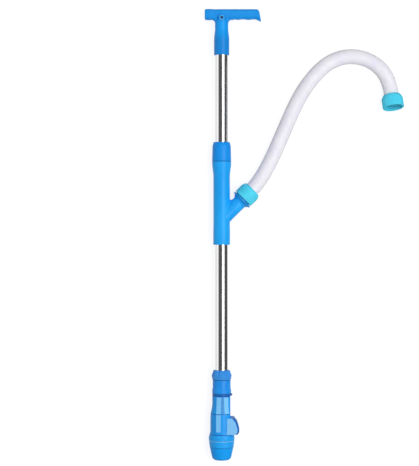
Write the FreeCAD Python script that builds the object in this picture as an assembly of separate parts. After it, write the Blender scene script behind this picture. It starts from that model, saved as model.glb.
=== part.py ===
import FreeCAD, Part
import math
import os
from FreeCAD import Vector

# A hand lift pump with a filter in its foot, lying on its side. The pump axis is +Y: the origin is the
# middle of the intake nose's flat end, the T-handle is at the far end, the hose branch leans towards +X,
# and +Z is up. All sizes are millimetres.

# ---- clearances ----
fit_gap = 0.05            # pieces pressed or located in one another
shaft_gap = 0.06          # a shaft in its guide
loose_gap = 0.3           # pieces that move past one another, and soft pieces
rim_round = 0.8           # the small rounding on moulded rims
cone_round = 60.0         # the wide rounding where a moulded wall changes slope

# ---- tubes and rod ----
tube_radius = 14.0
tube_wall = 1.0
barrel_bottom = 150.0
barrel_length = 340.0
upper_tube_length = 295.0
rod_radius = 4.0
rod_bottom = 186.0

# ---- Y body ----
bell_wall = 4.1           # walls in this group are over the tube's radius
bell_overlap = 26.7       # of the bell down over the barrel
bell_height = 32.0
bell_taper = 10.0
waist_wall = 3.8
socket_wall = 6.6
socket_rise = 124.0       # from the barrel's top to the socket's taper
socket_taper = 21.0
socket_height = 7.8
bore_step = 0.4
branch_rise = 26.5        # from the barrel's top to where the two axes cross
branch_angle = 45.0
branch_wall = 4.7
tail_wall = 1.9
branch_length = 60.0
flare_start = 54.0        # along the branch, where it widens towards its flange
branch_flare = 4.6        # over the hose's radius, as is the flange's
flange_rise = 7.2
flange_thickness = 3.4
stub_length = 16.1
crotch_fillet = 3.0
seal_carrier_height = 12.0
rod_seal_radius = 8.0
rod_seal_height = 4.6
carrier_drop = 11.0       # of the seal carrier's floor below the socket's taper

# ---- gland at the top of the Y body ----
gland_stub_wall = 3.4     # walls in this group are over the tube's radius
gland_stub_height = 24.4
gland_nut_bottom_wall = 6.7
gland_nut_top_wall = 5.7
gland_nut_height = 41.0
gland_nut_chamfer = 2.2
gland_nut_chamfer_height = 8.0
gland_nut_round = 4.0
compression_ring_height = 7.0
compression_ring_wall = 2.5
gland_seat_depth = 6.0
o_ring_section = 1.2
thin_ring_section = 0.9
compression_ring_slit = 1.2

# ---- union nuts at the two ends of the hose ----
hose_radius = 16.0
hose_wall = 3.5
union_nut_wall = 7.0      # walls in this group are over the hose's radius
union_nut_mouth = 19.0    # from the hose's cut end to the nut's mouth
union_nut_back = 9.0      # from the hose's cut end to the nut's back
union_nut_back_wall = 2.9
union_nut_shoulder = 7.0
union_nut_round = 12.0
union_thread_wall = 3.6
union_ribs = 24
union_rib_length = 11.0
union_rib_start = 4.0
union_rib_depth = 0.35
tail_flange_thickness = 3.0
tail_flange_rise = 3.0
tail_length = 13.6
tail_barbs = 2
barb_depth = 0.8
washer_thickness = 2.0

# ---- handle ----
grip_rise = 60.2          # heights in this group are from the upper tube's top
grip_depth = 12.6         # half the grip's thickness
grip_left = -36.6
grip_right = 79.8         # at the top edge
grip_height = 22.6
finger_pitch = 20.7
finger_first = 35.2       # the first ridge between two fingers
finger_depth = 1.2
grip_end_slant = 0.19
grip_end_radius = 2.4
grip_corner_radius = 6.0  # of the top corner over the hook
grip_groove_depth = 0.9
grip_groove_spread = 0.12  # half the groove's width, as a share of half the section's height
grip_taper = 0.42         # how much thinner the grip is at the fingers than at the palm
grip_squareness = 0.62    # power of the section's outline: 1 is an ellipse, 0 a rectangle
hook_drop = 3.6
hook_length = 10.0
neck_wall = 0.3           # over the tube's radius, as is the sleeve's wall
neck_rise = 43.0
neck_end_round = 8.0
web_blend = 8.0           # radius of the curve between the neck and the grip
web_depth = 17.0
web_overlap = 9.0
sleeve_wall = 2.4
sleeve_overlap = 38.4     # of the sleeve down over the upper tube
sleeve_drop = 2.0
sleeve_taper = 18.0
screw_rise = 40.8
screw_radius = 1.75
screw_head_radius = 2.9
screw_head_height = 2.4
screw_boss_radius = 6.0
screw_boss_reach = 16.4
screw_head_depth = 3.0
screw_slot_width = 0.8
screw_slot_depth = 1.2
nut_across_flats = 6.0
nut_height = 2.6
handle_bore_gap = 6.0     # from the upper tube's end to the bottom of the handle's bore
bushing_length = 18.0
bushing_flange = 2.4
rod_rise = 48.0

# ---- piston ----
piston_length = 16.0
piston_gap = 0.4
piston_waist_depth = 2.0
piston_land = 4.0
port_radius = 1.7
port_circle = 8.4
port_count = 6
cup_height = 6.0
cup_floor = 2.6
cup_lip = 1.3
piston_washer_height = 1.4
piston_nut_height = 5.0
piston_nut_flats = 13.0
valve_disc_radius = 11.0
valve_disc_thickness = 1.6
valve_lift = 3.0
stop_collar_radius = 6.5
stop_collar_height = 4.0

# ---- foot socket and its lock nut ----
socket_ring_bottom = 143.4
foot_socket_wall = 1.8    # over the spigot, as are the flange's and the latch's
foot_socket_top = 173.0
socket_flange_wall = 2.9
socket_flange_top = 152.0
socket_flange_ramp = 3.0
foot_stub_wall = 2.4      # over the tube, as are the lock nut's walls
foot_stub_height = 8.0
collar_wall = 7.6
collar_top_wall = 3.3
collar_bottom_wall = 6.0
collar_waist = 8.5        # height of the widest place above the collar's lower rim
collar_height = 20.4
collar_crown_depth = 3.2  # of the hollow in the collar's top, around the tube
collar_crown_rim = 1.6
collar_crown_step = 0.6
collar_lobes = 8
collar_scallop_radius = 4.2
collar_scallop_depth = 1.9
collar_scallop_start = 9.5
foot_bore_step = 1.0
spigot_wall = 3.5         # over the tube's radius
spigot_bottom = 127.0
spigot_groove = 2.2
spigot_groove_height = 7.0
bayonet_wall = 2.7
bayonet_height = 5.0
latch_boss_radius = 3.2
latch_boss_rise = 3.9
latch_radius = 1.8
latch_rise = 5.4
latch_floor_rise = 0.5
latch_travel = 1.2

# ---- foot valve ----
seat_wall = 3.1           # of the spigot around the valve seat
seat_thickness = 4.0
seat_hole = 7.0
seat_hub = 3.2
seat_arm = 1.8
poppet_radius = 9.0
poppet_thickness = 2.0
poppet_stem_radius = 1.5
poppet_stem_length = 9.0

# ---- filter housing ----
housing_upper_wall = 2.7  # over the spigot
housing_step_top = 118.0
housing_step_bottom = 97.0
housing_step = 4.2
housing_flare_top = 62.0
housing_flare = 1.8
housing_flare_bottom = 55.0
housing_wall = 3.9
housing_cone_bottom = 78.0
housing_cone_top = 86.0
housing_flat_wall = 1.1   # of the housing where its hood side is cut flat
housing_flat_bottom = 88.0
neck_thread_step = 1.5
pad_width = 10.8
pad_rise = 0.2            # of a pad's flat face over the round wall, at the pad's middle
pad_end = 2.0
pad_depth = 4.0
pad_seam = 100.0          # height of the seam between the upper and the lower pads
upper_pad_turns = (-17.4, 27.6)
lower_pad_turn = -17.0
lower_pad_bottom = 62.0

# ---- side hood on the housing, with its mouth towards the intake ----
hood_top = 92.6
hood_bottom = 56.4
hood_root = 13.2          # of the hood's root inside the housing's round wall
hood_top_reach = 2.2      # reaches are from the housing's round wall
hood_wide_reach = 13.2
hood_shoulder_reach = 9.0
hood_shoulder_height = 84.0
hood_wide_height = 70.0
hood_lip_inset = 3.6
hood_lip_height = 62.0
hood_front_drop = 1.8     # of half the hood's thickness below the housing's radius
hood_wall = 2.2
hood_mouth_reach = 2.6
hood_cheek = 5.6
hood_bevel = 4.4
hood_top_bevel = 1.4
flush_port_radius = 3.5
flush_port_spacing = 14.0
flush_port_height = 78.0
flap_thickness = 1.2
flap_pin_radius = 1.0
flap_pin_drop = 3.8       # of each pin end inside the hood's face
flap_knuckle_wall = 1.0
flap_pin_height = 59.4
flap_pin_inset = 3.6      # from the hood's inner face

# ---- cartridge ----
media_radius = 15.0
media_bore = 8.5
media_bottom = 60.0
media_top = 117.0
fold_radius = 0.9
fold_count = 36
cap_height = 4.0
cap_top_radius = 17.0
cap_spigot_radius = 12.0
cartridge_ring_section = 1.6
cap_bottom_height = 5.0
cap_skirt_wall = 1.6
cap_ports = 8
cap_port_radius = 1.4

# ---- foot ring and intake nose ----
ring_top_step = 0.1       # from the housing's flare, as are the other three radii
ring_wide_rise = 1.8
ring_wide_height = 49.0
ring_bottom_rise = 1.4
ring_bottom = 43.2
ring_round = 4.0
nose_collar_top_rise = 1.4
nose_collar_bottom_step = 0.5
nose_collar_bottom = 27.5
nose_step = 0.9
nose_end_step = 5.9
nose_corner = 9.0
nose_spigot_overlap = 3.5  # of the spigot inside the housing's neck
nose_seat_wall = 1.3
nose_seat_top = 36.0
nose_wall = 2.8
nose_floor = 4.0
screen_height = 9.0
screen_thickness = 0.8
screen_hole_radius = 0.9
screen_rings = 4
screen_pitch = 3.2
screen_ledge = 3.0
intake_radius = 7.5
nose_flutes = 24
nose_flute_radius = 1.1
nose_flute_depth = 0.35
nose_flute_start = 9.0
gasket_thickness = 1.2

# The hose's route from the branch nut to the free end, laid on the floor by hand.
hose_route = [(59.76, 576.26, 0.0), (78.16, 594.66, 0.0), (107.3, 646.0, -3.5), (133.1, 705.7, -8.5),
              (170.9, 791.1, -11.5), (216.6, 847.8, -11.5), (258.4, 869.7, -11.5), (300.1, 869.7, -11.5),
              (333.9, 853.8, -11.5), (354.4, 831.9, -11.5), (365.2, 802.0, -11.5), (368.0, 776.9, -4.7)]

# ---- sizes that follow from the ones above ----
tube_bore = tube_radius - tube_wall
barrel_top = barrel_bottom + barrel_length
stub_end = branch_length + flange_thickness + stub_length
hose_bore = hose_radius - hose_wall
collar_bottom = foot_socket_top + loose_gap
collar_top = collar_bottom + collar_height
foot_stub_top = foot_socket_top + foot_stub_height
foot_ring_top = foot_stub_top + fit_gap + 2 * thin_ring_section
latch_height = socket_ring_bottom - bayonet_height / 2
screw_head_floor = screw_boss_reach - screw_head_depth - screw_head_height
bayonet_bottom = socket_ring_bottom - bayonet_height
seat_top = spigot_bottom + seat_thickness
nose_collar_top = ring_bottom - loose_gap
gasket_top = nose_collar_top + fit_gap + gasket_thickness
neck_bottom = gasket_top + loose_gap
nose_spigot_top = neck_bottom + nose_spigot_overlap
cap_skirt_bottom = nose_spigot_top + loose_gap
piston_nut_top = rod_bottom + piston_nut_height
cup_bottom = piston_nut_top + piston_washer_height
cup_top = cup_bottom + cup_height
piston_top = cup_top + piston_length
valve_disc_bottom = piston_top + loose_gap
stop_collar_bottom = valve_disc_bottom + valve_disc_thickness + valve_lift + loose_gap
bell_bottom = barrel_top - bell_overlap
branch_height = barrel_top + branch_rise
socket_bottom = barrel_top + socket_rise
bore_radius = tube_bore - bore_step
bell_radius = tube_radius + bell_wall
waist_radius = tube_radius + waist_wall
socket_radius = tube_radius + socket_wall
gland_stub_radius = tube_radius + gland_stub_wall
gland_nut_bottom_radius = tube_radius + gland_nut_bottom_wall
gland_nut_top_radius = tube_radius + gland_nut_top_wall
compression_ring_radius = tube_radius + compression_ring_wall
neck_radius = tube_radius + neck_wall
sleeve_radius = tube_radius + sleeve_wall
spigot_radius = tube_radius + spigot_wall
foot_socket_radius = spigot_radius + foot_socket_wall
socket_flange_radius = spigot_radius + socket_flange_wall
foot_stub_radius = tube_radius + foot_stub_wall
collar_radius = tube_radius + collar_wall
collar_top_radius = tube_radius + collar_top_wall
collar_bottom_radius = tube_radius + collar_bottom_wall
bayonet_radius = spigot_radius + bayonet_wall
latch_boss_reach = spigot_radius + latch_boss_rise
latch_reach = spigot_radius + latch_rise
latch_floor = spigot_radius + latch_floor_rise
foot_bore = tube_bore - foot_bore_step
seat_radius = spigot_radius - seat_wall
housing_upper_radius = spigot_radius + housing_upper_wall
housing_lower_radius = housing_upper_radius + housing_step
housing_bore_lower = housing_lower_radius - housing_wall
housing_flare_radius = housing_lower_radius + housing_flare
neck_thread_radius = housing_lower_radius - neck_thread_step
hood_inner_x = housing_lower_radius - hood_root
hood_top_x = housing_lower_radius + hood_top_reach
hood_wide_x = housing_lower_radius + hood_wide_reach
hood_shoulder_x = housing_lower_radius + hood_shoulder_reach
hood_mouth_x = housing_lower_radius + hood_mouth_reach
hood_front = housing_lower_radius - hood_front_drop
hood_mouth_half = hood_front - hood_cheek
flap_pin_reach = hood_front - flap_pin_drop
cap_skirt_radius = housing_bore_lower - loose_gap
nose_spigot_radius = housing_bore_lower - loose_gap
ring_top_radius = housing_flare_radius - ring_top_step
ring_wide_radius = housing_flare_radius + ring_wide_rise
ring_bottom_radius = housing_flare_radius + ring_bottom_rise
nose_collar_top_radius = housing_flare_radius + nose_collar_top_rise
nose_collar_bottom_radius = housing_flare_radius - nose_collar_bottom_step
nose_radius = housing_flare_radius - nose_step
nose_end_radius = nose_radius - nose_end_step
nose_bore = nose_spigot_radius - nose_wall
nose_seat_radius = nose_spigot_radius + nose_seat_wall
union_nut_radius = hose_radius + union_nut_wall
union_nut_back_radius = hose_radius + union_nut_back_wall
union_thread_radius = hose_radius + union_thread_wall
tail_flange_radius = hose_radius + tail_flange_rise
branch_bore = hose_bore - tail_wall
branch_radius = branch_bore + branch_wall
flare_radius = hose_radius + branch_flare
flange_radius = hose_radius + flange_rise
bell_top = bell_bottom + bell_height
socket_shoulder = socket_bottom + socket_taper
y_body_rim = socket_shoulder + socket_height
carrier_bottom = socket_bottom - carrier_drop
carrier_top = carrier_bottom + seal_carrier_height
upper_tube_top = carrier_top + upper_tube_length
gland_stub_top = y_body_rim + gland_stub_height
gland_seat = gland_stub_top - gland_seat_depth
gland_ring_bottom = gland_seat + 2 * o_ring_section + fit_gap
gland_ring_top = gland_ring_bottom + compression_ring_height
gland_nut_bottom = y_body_rim + loose_gap
gland_nut_top = gland_nut_bottom + gland_nut_height
handle_bore_top = upper_tube_top + handle_bore_gap
barrel_ring_height = bell_bottom + 12.0
grip_top = upper_tube_top + grip_rise
neck_top = upper_tube_top + neck_rise
sleeve_bottom = upper_tube_top - sleeve_overlap
sleeve_top = upper_tube_top - sleeve_drop
screw_height = upper_tube_top + screw_rise
rod_top = upper_tube_top + rod_rise

ORIGIN = Vector(0, 0, 0)
PUMP_AXIS = Vector(0, 1, 0)
UP = Vector(0, 0, 1)
SIDE = Vector(1, 0, 0)


def turned(*outline):
    """A solid of revolution about the pump axis from a closed outline of (radius, height) corners."""
    corners = [Vector(radius, height, 0) for radius, height in outline]
    face = Part.Face(Part.makePolygon(corners + [corners[0]]))
    return face.revolve(ORIGIN, PUMP_AXIS, 360)


def tube(outer, inner, bottom, top):
    """A plain ring about the pump axis."""
    return turned((inner, bottom), (outer, bottom), (outer, top), (inner, top))


def rod(radius, bottom, top):
    """A plain cylinder on the pump axis."""
    return Part.makeCylinder(radius, top - bottom, Vector(0, bottom, 0), PUMP_AXIS)


def cross_rod(radius, low, high, x=0.0, y=0.0):
    """A plain cylinder along Z."""
    return Part.makeCylinder(radius, high - low, Vector(x, y, low), UP)


def side_rod(radius, start, end, y, z=0.0):
    """A plain cylinder along +X."""
    return Part.makeCylinder(radius, end - start, Vector(start, y, z), SIDE)


def lengthwise(radius, bottom, top, reach):
    """A plain cylinder along the pump axis, standing off it by reach."""
    return Part.makeCylinder(radius, top - bottom, Vector(reach, bottom, 0), PUMP_AXIS)


def o_ring(inner, height, section=o_ring_section):
    """A rubber ring of round section that lies on a shaft of radius inner, with its lower side at height."""
    return Part.makeTorus(inner + fit_gap + section, section, Vector(0, height + section, 0), PUMP_AXIS)


def rounded(solid, radius, *rims):
    """Rounds the circular edges named by (radius, height) pairs."""
    chosen = []
    for edge in solid.Edges:
        if isinstance(edge.Curve, Part.Circle) and abs(edge.Curve.Axis.dot(PUMP_AXIS)) > 0.99:
            for rim_radius, rim_height in rims:
                same_radius = abs(edge.Curve.Radius - rim_radius) < 0.01
                if same_radius and abs(edge.Curve.Center.y - rim_height) < 0.01:
                    chosen.append(edge)
    return solid.makeFillet(radius, chosen)


def spaced(piece, count, centre=ORIGIN, axis=PUMP_AXIS, first=0.0):
    """Copies of a piece, evenly spaced about an axis, as one shape."""
    copies = []
    for index in range(count):
        copy = piece.copy()
        copy.rotate(centre, axis, first + 360.0 * index / count)
        copies.append(copy)
    return Part.makeCompound(copies)


def hexagon(across_flats, bottom, top):
    """A hexagonal prism on the pump axis."""
    corner = Vector(across_flats / math.sqrt(3), 0, 0)
    turn = FreeCAD.Rotation(PUMP_AXIS, 60)
    points = []
    for side in range(7):
        points.append(corner + PUMP_AXIS * bottom)
        corner = turn.multVec(corner)
    return Part.Face(Part.makePolygon(points)).extrude(Vector(0, top - bottom, 0))


def on_branch(shape):
    """Moves a piece made on the pump axis, with height measured from the crossing, onto the branch."""
    shape.rotate(ORIGIN, UP, -branch_angle)
    shape.translate(Vector(0, branch_height, 0))
    return shape


def at_hose_end(shape, end, inward):
    """Moves a piece made on the pump axis at the origin to a hose end, with +Y turned into the hose."""
    shape.rotate(ORIGIN, PUMP_AXIS.cross(inward), math.degrees(PUMP_AXIS.getAngle(inward)))
    shape.translate(end)
    return shape


# ---------------------------------------------------------------- handle and plunger

def grip_floor(x):
    """Height of the grip's lower edge: finger ridges to the right of the neck, and the hook at the end."""
    height = grip_top - grip_height
    if x > finger_first - finger_pitch / 2:
        height -= finger_depth * 0.5 * (math.cos(2 * math.pi * (x - finger_first) / finger_pitch) + 1)
        height += finger_depth
    to_end = grip_right - x
    if to_end < hook_length:
        height -= (hook_drop + finger_depth) * (1 - to_end / hook_length) ** 1.5
    return height


def end_inset(from_end, radius):
    """How far a rounded end has come in, at a distance from its tip."""
    short = max(0.0, radius - from_end)
    return radius - math.sqrt(radius ** 2 - short ** 2)


def grip_section(x):
    """One cross-section of the grip: a soft-cornered rectangle with a shallow groove along each face,
    leaning at the hooked end."""
    inset = end_inset(min(x - grip_left, grip_right - x), grip_end_radius)
    low, high = grip_floor(x) + inset, grip_top - max(inset, end_inset(grip_right - x, grip_corner_radius))
    lean = grip_end_slant * max(0.0, 1 - (grip_right - x) / (2 * finger_pitch))
    points = []
    for step in range(32):
        angle = 2 * math.pi * step / 32
        across, along = math.cos(angle), math.sin(angle)
        narrow = 1 - grip_taper * ((1 - along) / 2) ** 2
        dent = grip_groove_depth * math.exp(-(along / grip_groove_spread) ** 2)
        half = (grip_depth - inset) * narrow - dent
        z = half * math.copysign(abs(across) ** grip_squareness, across)
        y = (low + high) / 2 + (high - low) / 2 * math.copysign(abs(along) ** grip_squareness, along)
        points.append(Vector(x + lean * (grip_top - y), y, z))
    curve = Part.BSplineCurve()
    curve.interpolate(Points=points, PeriodicFlag=True)
    return Part.Wire(curve.toShape())


def grip():
    stations = [grip_left + grip_end_radius * share for share in (0.02, 0.12, 0.4, 1.0)]
    middle = finger_first - finger_pitch
    stations += [grip_left + (middle - grip_left) * share for share in (0.35, 0.7)]
    count = int((grip_right - hook_length - middle) / (finger_pitch / 6))
    stations += [middle + index * finger_pitch / 6 for index in range(count)]
    stations += [grip_right - hook_length * share for share in (0.9, 0.65, 0.42)]
    stations += [grip_right - grip_end_radius * share for share in (1.0, 0.4, 0.12, 0.02)]
    return Part.makeLoft([grip_section(x) for x in stations], True, False)


def neck_web():
    """The thin gusset whose curved edges blend the neck into the grip."""
    reach = neck_radius + web_blend
    low = grip_top - grip_height - web_blend
    web = Part.makeBox(2 * reach, web_blend + web_overlap, web_depth, Vector(-reach, low, -web_depth / 2))
    for side in (-1, 1):
        web = web.cut(cross_rod(web_blend, -web_depth / 2, web_depth / 2, side * reach, low))
    arcs = [edge for edge in web.Edges if isinstance(edge.Curve, Part.Circle)]
    return web.makeFillet(web_depth / 2 - 0.6, arcs)


def t_handle():
    neck = turned((0, sleeve_bottom), (sleeve_radius, sleeve_bottom), (sleeve_radius, sleeve_top),
                  (neck_radius, sleeve_top + sleeve_taper), (neck_radius, neck_top), (0, neck_top))
    neck = rounded(neck, neck_end_round, (neck_radius, neck_top))
    neck = rounded(neck, rim_round, (sleeve_radius, sleeve_bottom))
    neck = rounded(neck, cone_round, (sleeve_radius, sleeve_top), (neck_radius, sleeve_top + sleeve_taper))
    body = grip().fuse([neck, neck_web()])
    reach = screw_boss_reach
    body = body.fuse(cross_rod(screw_boss_radius, -reach, reach, y=screw_height))
    body = body.cut(rod(tube_radius + loose_gap, sleeve_bottom - 1, handle_bore_top))
    body = body.cut(rod(rod_radius + fit_gap, handle_bore_top - 1, rod_top + fit_gap))
    shank = cross_rod(screw_radius + fit_gap, -reach, reach, y=screw_height)
    head = cross_rod(screw_head_radius + fit_gap, screw_head_floor, reach + 1, y=screw_height)
    pocket = cross_nut_blank(nut_across_flats + 2 * fit_gap, nut_height + screw_head_depth + 1)
    return body.cut([shank, head, pocket])


def cross_nut_blank(across_flats, height):
    """A hexagonal prism on the cross screw's axis, from the nut's seat outwards towards -Z."""
    blank = hexagon(across_flats, 0, height)
    blank.rotate(ORIGIN, SIDE, -90)
    blank.translate(Vector(0, screw_height, -(screw_boss_reach - screw_head_depth - nut_height)))
    return blank


def handle_screw():
    head_top = screw_head_floor + screw_head_height
    head = cross_rod(screw_head_radius, screw_head_floor, head_top, y=screw_height)
    shank = cross_rod(screw_radius, -head_top, screw_head_floor, y=screw_height)
    corner = Vector(-screw_head_radius, screw_height - screw_slot_width / 2, head_top - screw_slot_depth)
    slot = Part.makeBox(2 * screw_head_radius, screw_slot_width, screw_slot_depth, corner)
    cross = slot.copy()
    cross.rotate(Vector(0, screw_height, 0), UP, 90)
    return head.fuse(shank).cut([slot, cross])


def handle_nut():
    hole = cross_rod(screw_radius + fit_gap, -2 * screw_boss_reach, 0, y=screw_height)
    return cross_nut_blank(nut_across_flats, nut_height).cut(hole)


def plunger_rod():
    hole = cross_rod(screw_radius + fit_gap, -2 * rod_radius, 2 * rod_radius, y=screw_height)
    return rod(rod_radius, rod_bottom, rod_top).cut(hole)


def piston_head():
    outer = tube_bore - piston_gap
    head = tube(outer, rod_radius + fit_gap, cup_top, piston_top)
    waist = tube(outer + 1, outer - piston_waist_depth, cup_top + piston_land, piston_top - piston_land)
    ports = spaced(lengthwise(port_radius, cup_top - 1, piston_top + 1, port_circle), port_count)
    return head.cut([waist, ports])


def piston_cup_seal():
    """A rubber cup whose thin lip stands down towards the suction side."""
    lip, inner = tube_bore - loose_gap, rod_radius + fit_gap
    floor = cup_top - cup_floor
    cup = turned((inner, cup_top), (lip - cup_lip / 2, cup_top), (lip, cup_bottom),
                 (lip - cup_lip, cup_bottom), (lip - 1.5 * cup_lip, floor), (inner, floor))
    return cup.cut(spaced(lengthwise(port_radius, cup_bottom, cup_top + 1, port_circle), port_count))


def piston_washer():
    radius = port_circle - port_radius - loose_gap
    return tube(radius, rod_radius + fit_gap, piston_nut_top, cup_top - cup_floor)


def piston_nut():
    hole = rod(rod_radius + fit_gap, rod_bottom - 1, piston_nut_top + 1)
    return hexagon(piston_nut_flats, rod_bottom, piston_nut_top).cut(hole)


def piston_valve_disc():
    top = valve_disc_bottom + valve_disc_thickness
    return tube(valve_disc_radius, rod_radius + loose_gap, valve_disc_bottom, top)


def valve_stop_collar():
    top = stop_collar_bottom + stop_collar_height
    return tube(stop_collar_radius, rod_radius + fit_gap, stop_collar_bottom, top)


# ---------------------------------------------------------------- tubes, gland and Y body

def upper_tube():
    return tube(tube_radius, tube_bore, carrier_top, upper_tube_top)


def barrel():
    return tube(tube_radius, tube_bore, barrel_bottom, barrel_top)


def rod_bushing():
    inner, spigot = rod_radius + shaft_gap, tube_bore - fit_gap
    low, seat = upper_tube_top - bushing_length, upper_tube_top
    return turned((inner, low), (spigot, low), (spigot, seat), (tube_radius, seat),
                  (tube_radius, seat + bushing_flange), (inner, seat + bushing_flange))


def rod_seal_carrier():
    inner, pocket = rod_radius + loose_gap, rod_seal_radius + fit_gap
    pocket_floor = carrier_top - rod_seal_height - fit_gap
    return turned((inner, carrier_bottom), (tube_radius, carrier_bottom), (tube_radius, carrier_top),
                  (pocket, carrier_top), (pocket, pocket_floor), (inner, pocket_floor))


def rod_seal():
    inner = rod_radius + shaft_gap
    low = carrier_top - rod_seal_height
    ring = tube(rod_seal_radius, inner, low, carrier_top)
    lip = (rod_seal_radius - inner) / 3
    groove = tube(rod_seal_radius - lip, inner + lip, carrier_top - rod_seal_height / 2, carrier_top + 1)
    return ring.cut(groove)


def gland_nut():
    """The plain collar nut at the top of the Y body."""
    inner, cap = gland_stub_radius + loose_gap, gland_ring_top + loose_gap
    top = gland_nut_top
    low_rim = (gland_nut_bottom_radius, gland_nut_bottom)
    shoulder = (gland_nut_top_radius, top - gland_nut_chamfer_height)
    high_rim = (gland_nut_top_radius - gland_nut_chamfer, top)
    nut = turned((inner, gland_nut_bottom), low_rim, shoulder, high_rim, (tube_radius + loose_gap, top),
                 (tube_radius + loose_gap, cap), (inner, cap))
    return rounded(rounded(nut, gland_nut_round, shoulder), rim_round, low_rim, high_rim)


def compression_ring():
    ring = tube(compression_ring_radius, tube_radius + fit_gap, gland_ring_bottom, gland_ring_top)
    corner = Vector(0, gland_ring_bottom - 1, -compression_ring_slit / 2)
    slit = Part.makeBox(2 * tube_radius, compression_ring_height + 2, compression_ring_slit, corner)
    return ring.cut(slit)


def gland_o_ring():
    return o_ring(tube_radius, gland_seat)


def barrel_o_ring():
    return o_ring(tube_radius, barrel_ring_height, thin_ring_section)


def y_body():
    stub = gland_stub_radius
    main = turned((0, bell_bottom), (bell_radius, bell_bottom), (bell_radius, bell_top),
                  (waist_radius, bell_top + bell_taper), (waist_radius, socket_bottom),
                  (socket_radius, socket_shoulder), (socket_radius, y_body_rim), (stub, y_body_rim),
                  (stub, gland_stub_top), (0, gland_stub_top))
    main = rounded(main, rim_round, (bell_radius, bell_bottom), (socket_radius, y_body_rim))
    main = rounded(main, cone_round, (waist_radius, socket_bottom), (socket_radius, socket_shoulder))
    arm = on_branch(rod(branch_radius, 0, branch_length + 1))
    body = main.fuse(arm)
    seams = [edge for edge in body.Edges if not isinstance(edge.Curve, (Part.Circle, Part.Line))]
    body = body.makeFillet(crotch_fillet, seams)
    flange_top = branch_length + flange_thickness
    flange = turned((0, flare_start), (branch_radius, flare_start), (flare_radius, branch_length),
                    (flange_radius, branch_length), (flange_radius, flange_top), (0, flange_top))
    flange = rounded(flange, rim_round, (flange_radius, branch_length), (flange_radius, flange_top))
    thread = rod(union_thread_radius - loose_gap, flange_top - 1, stub_end)
    body = body.fuse([on_branch(flange), on_branch(thread)])
    socket = tube_radius + fit_gap
    groove = rod(tube_radius + 2 * (thin_ring_section + fit_gap), barrel_ring_height - fit_gap,
                 barrel_ring_height + 2 * thin_ring_section + fit_gap)
    hollow = [rod(socket, bell_bottom - 1, barrel_top), rod(bore_radius, barrel_top - 1, carrier_bottom + 1),
              rod(socket, carrier_bottom, gland_stub_top + 1), groove,
              rod(compression_ring_radius + fit_gap, gland_seat, gland_stub_top + 1),
              on_branch(rod(branch_bore, 0, stub_end + 1))]
    return body.cut(hollow)


# ---------------------------------------------------------------- hose and its two unions

def hose_end_frames():
    """The hose's two cut ends, each with the direction that leads into the hose."""
    points = [Vector(*point) for point in hose_route]
    first, last = points[1] - points[0], points[-2] - points[-1]
    return (points[0], first.normalize()), (points[-1], last.normalize())


def union_nut():
    """A nut captive on a hose tail: its back wall bears on the tail's flange, its mouth is threaded."""
    mouth, back = -union_nut_mouth, union_nut_back
    inner = hose_radius + loose_gap
    shoulder, rim = (union_nut_radius, back - union_nut_shoulder), (union_nut_back_radius, back)
    nut = turned((inner, mouth), (union_nut_radius, mouth), shoulder, rim, (inner, back))
    nut = rounded(nut, union_nut_round, shoulder)
    nut = rounded(nut, rim_round, (union_nut_radius, mouth), rim)
    nut = nut.cut([rod(union_thread_radius, mouth - 1, -tail_flange_thickness - washer_thickness),
                   rod(tail_flange_radius + loose_gap, mouth, loose_gap)])
    low = mouth + union_rib_start
    flute = lengthwise(2 * union_rib_depth, low, low + union_rib_length, union_nut_radius + union_rib_depth)
    return nut.cut(spaced(flute, union_ribs))


def hose_tail():
    """A flanged tail that the hose is pushed on to, with saw-tooth barbs and a through bore."""
    spigot = hose_bore - fit_gap
    root = spigot - barb_depth
    bore, flange = branch_bore, -tail_flange_thickness
    tooth = tail_length / tail_barbs
    outline = [(bore, flange), (tail_flange_radius, flange), (tail_flange_radius, 0)]
    for index in range(tail_barbs):
        outline += [(spigot, index * tooth), (root, (index + 1) * tooth)]
    outline += [(bore, tail_length)]
    return turned(*outline)


def union_washer():
    top = -tail_flange_thickness
    return tube(tail_flange_radius, branch_bore, top - washer_thickness, top)


def hose_path():
    """Straight runs joined by tangent arcs, each arc as large as its two runs allow."""
    points = [Vector(*point) for point in hose_route]
    edges = []
    start = points[0]
    for before, corner, after in zip(points, points[1:], points[2:]):
        back, onward = before - corner, after - corner
        reach = 0.45 * min(back.Length, onward.Length)
        half_turn = (math.pi - back.getAngle(onward)) / 2
        radius = reach / math.tan(half_turn)
        back.normalize()
        onward.normalize()
        enter, leave = corner + back * reach, corner + onward * reach
        middle_way = (back + onward).normalize()
        middle = corner + middle_way * (radius / math.cos(half_turn) - radius)
        edges.append(Part.LineSegment(start, enter).toShape())
        edges.append(Part.Arc(enter, middle, leave).toShape())
        print("hose arc radius %.1f mm" % radius)
        start = leave
    edges.append(Part.LineSegment(start, points[-1]).toShape())
    return Part.Wire(edges)


def hose():
    path = hose_path()
    along = (Vector(*hose_route[1]) - Vector(*hose_route[0])).normalize()
    start = Vector(*hose_route[0])
    outer = Part.Wire(Part.makeCircle(hose_radius, start, along))
    inner = Part.Wire(Part.makeCircle(hose_bore, start, along))
    solid = path.makePipeShell([outer], True, True).cut(path.makePipeShell([inner], True, True))
    section = math.pi * (hose_radius ** 2 - hose_bore ** 2)
    print("hose length %.1f mm, volume over section times length %.4f"
          % (path.Length, solid.Volume / (section * path.Length)))
    return solid


# ---------------------------------------------------------------- foot socket, lock nut and latch

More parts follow.
